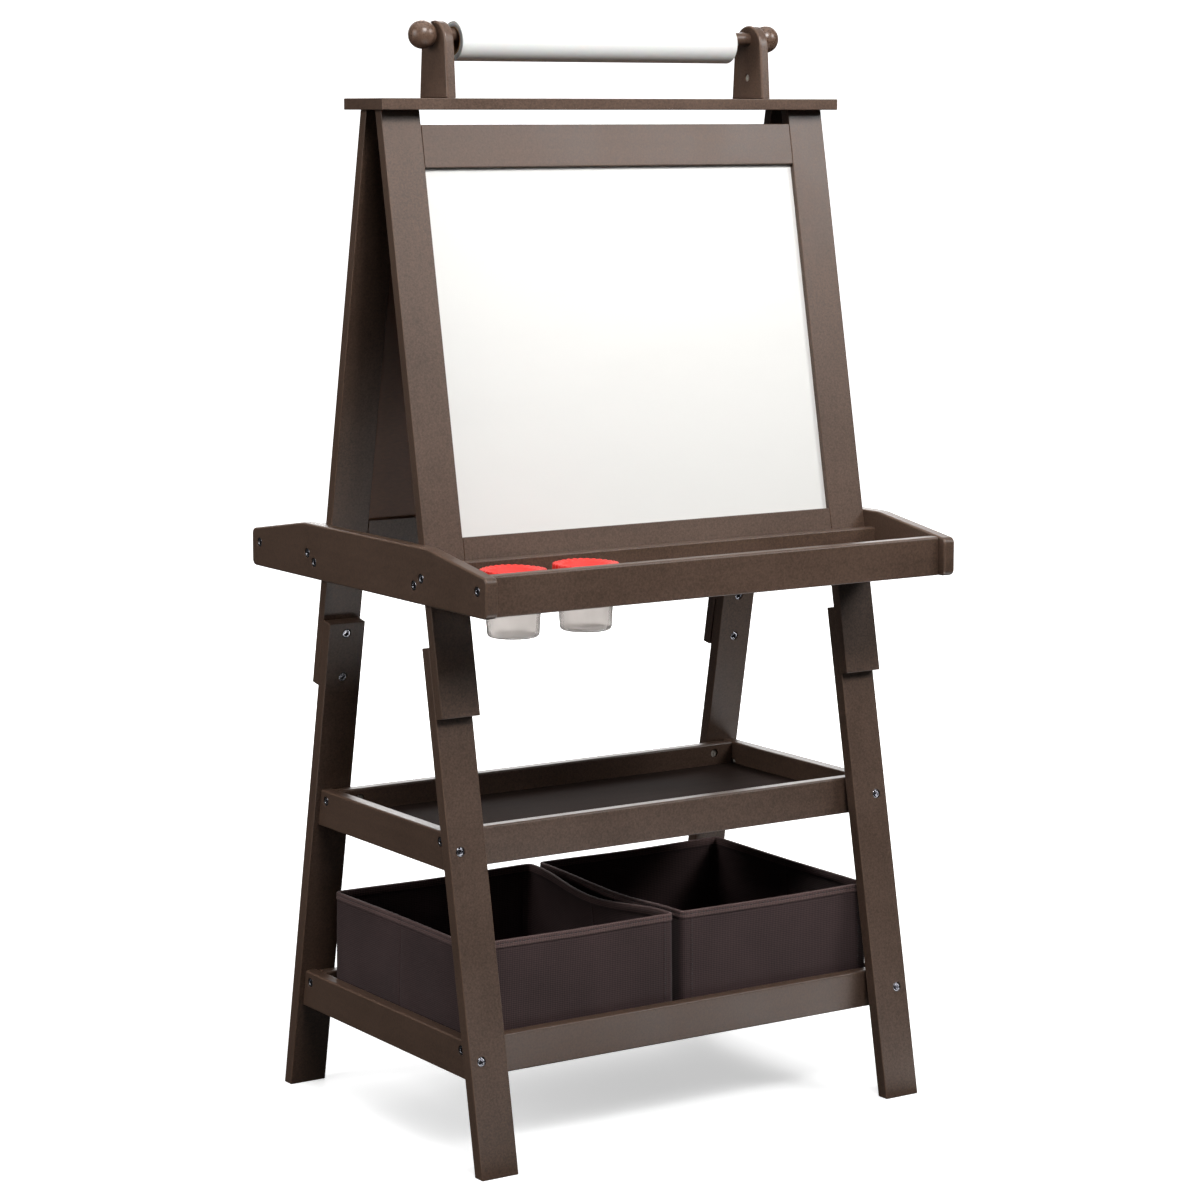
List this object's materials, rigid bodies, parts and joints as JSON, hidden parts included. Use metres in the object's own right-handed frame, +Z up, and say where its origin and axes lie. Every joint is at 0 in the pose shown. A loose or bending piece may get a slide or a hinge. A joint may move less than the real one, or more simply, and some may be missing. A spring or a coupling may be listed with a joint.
{
  "type": "kids easel",
  "caption": "Double-sided kids easel: whiteboard and chalkboard in a brown A-frame with a paper roll, a tray with cups, two shelves and fabric storage bins.",
  "frame": {"origin": "on the floor, under the middle of the easel", "axes": "+X to the right seen from the whiteboard side, -Y towards the whiteboard side, +Z up"},
  "size_m": [0.621, 0.52, 1.2298],
  "materials": {
    "brown_paint": "satin espresso-brown paint over wood, fine orange-peel grain",
    "floor_paint": "satin espresso-brown paint on thin board",
    "rod_paint": "satin brown paint on a turned dowel",
    "paper": "matt white drawing paper",
    "cardboard": "plain grey-brown cardboard",
    "whiteboard": "gloss white dry-wipe face, bare brown hardboard back",
    "chalkboard": "matt black-green chalk face, bare brown hardboard back",
    "red_plastic": "glossy moulded plastic",
    "clear_plastic": "milky translucent moulded plastic",
    "bin_fabric": "non-woven polypropylene with an embossed dot grid",
    "bin_base": "fabric-covered stiff board",
    "bolt_chrome": "bright zinc-plated",
    "nut_steel": "plain zinc-plated",
    "bare_wood": "bare beech"
  },
  "bodies": {
    "frame": {"top_board": "brown_paint", "roll_holder_left": "brown_paint", "roll_holder_right": "brown_paint", "front_post_left": "brown_paint", "front_post_right": "brown_paint", "back_post_left": "brown_paint", "back_post_right": "brown_paint", "front_top_rail": "brown_paint", "front_lower_rail": "brown_paint", "back_top_rail": "brown_paint", "back_lower_rail": "brown_paint", "whiteboard": "whiteboard", "chalkboard": "chalkboard", "tray_side_left": "brown_paint", "tray_side_right": "brown_paint", "tray_front_rail": "brown_paint", "tray_back_rail": "brown_paint", "tray_front_divider": "brown_paint", "tray_back_divider": "brown_paint", "tray_front_floor": "floor_paint", "tray_back_floor": "floor_paint", "front_leg_left": "brown_paint", "front_leg_right": "brown_paint", "back_leg_left": "brown_paint", "back_leg_right": "brown_paint", "middle_side_rail_left": "brown_paint", "middle_side_rail_right": "brown_paint", "middle_front_rail": "brown_paint", "middle_back_rail": "brown_paint", "middle_floor": "floor_paint", "lower_side_rail_left": "brown_paint", "lower_side_rail_right": "brown_paint", "lower_front_rail": "brown_paint", "lower_back_rail": "brown_paint", "lower_floor": "floor_paint", "tray_bolts": "bolt_chrome", "lap_bolts": "bolt_chrome", "leg_bolts": "bolt_chrome", "shelf_bolts": "bolt_chrome", "holder_bolts": "bolt_chrome", "top_board_screws": "bolt_chrome", "barrel_nuts": "nut_steel", "holder_nuts": "nut_steel", "post_inserts": "nut_steel", "board_dowels": "bare_wood", "holder_dowels": "bare_wood"},
    "paper_roll": {"paper_roll": "paper", "roll_core": "cardboard"},
    "rod": {"rod": "rod_paint", "knob_left": "brown_paint"},
    "knob_right": {"knob_right": "brown_paint"},
    "cup_left": {"cup_left": "clear_plastic"},
    "cup_right": {"cup_right": "clear_plastic"},
    "lid_left": {"cup_lid_left": "red_plastic"},
    "lid_right": {"cup_lid_right": "red_plastic"},
    "bin_left": {"bin_left": "bin_fabric", "bin_base_left": "bin_base"},
    "bin_right": {"bin_right": "bin_fabric", "bin_base_right": "bin_base"}
  },
  "joints": [
    {"name": "roll_spin", "type": "hinge", "parent": "frame", "child": "paper_roll", "pos_m": [0, 0, 1.20735], "axis": [1, 0, 0], "continuous": true},
    {"name": "rod_pull", "type": "slide", "parent": "frame", "child": "rod", "axis": [-1, 0, 0], "range_m": [0, 0.45]},
    {"name": "knob_pull", "type": "slide", "parent": "frame", "child": "knob_right", "axis": [1, 0, 0], "range_m": [0, 0.03]},
    {"name": "cup_left_lift", "type": "slide", "parent": "frame", "child": "cup_left", "axis": [0, 0, 1], "range_m": [0, 0.09]},
    {"name": "lid_left_lift", "type": "slide", "parent": "cup_left", "child": "lid_left", "axis": [0, 0, 1], "range_m": [0, 0.03]},
    {"name": "bin_left_lift", "type": "slide", "parent": "frame", "child": "bin_left", "axis": [0, 0, 1], "range_m": [0, 0.02]},
    {"name": "cup_right_lift", "type": "slide", "parent": "frame", "child": "cup_right", "axis": [0, 0, 1], "range_m": [0, 0.09]},
    {"name": "lid_right_lift", "type": "slide", "parent": "cup_right", "child": "lid_right", "axis": [0, 0, 1], "range_m": [0, 0.03]},
    {"name": "bin_right_lift", "type": "slide", "parent": "frame", "child": "bin_right", "axis": [0, 0, 1], "range_m": [0, 0.02]}
  ]
}
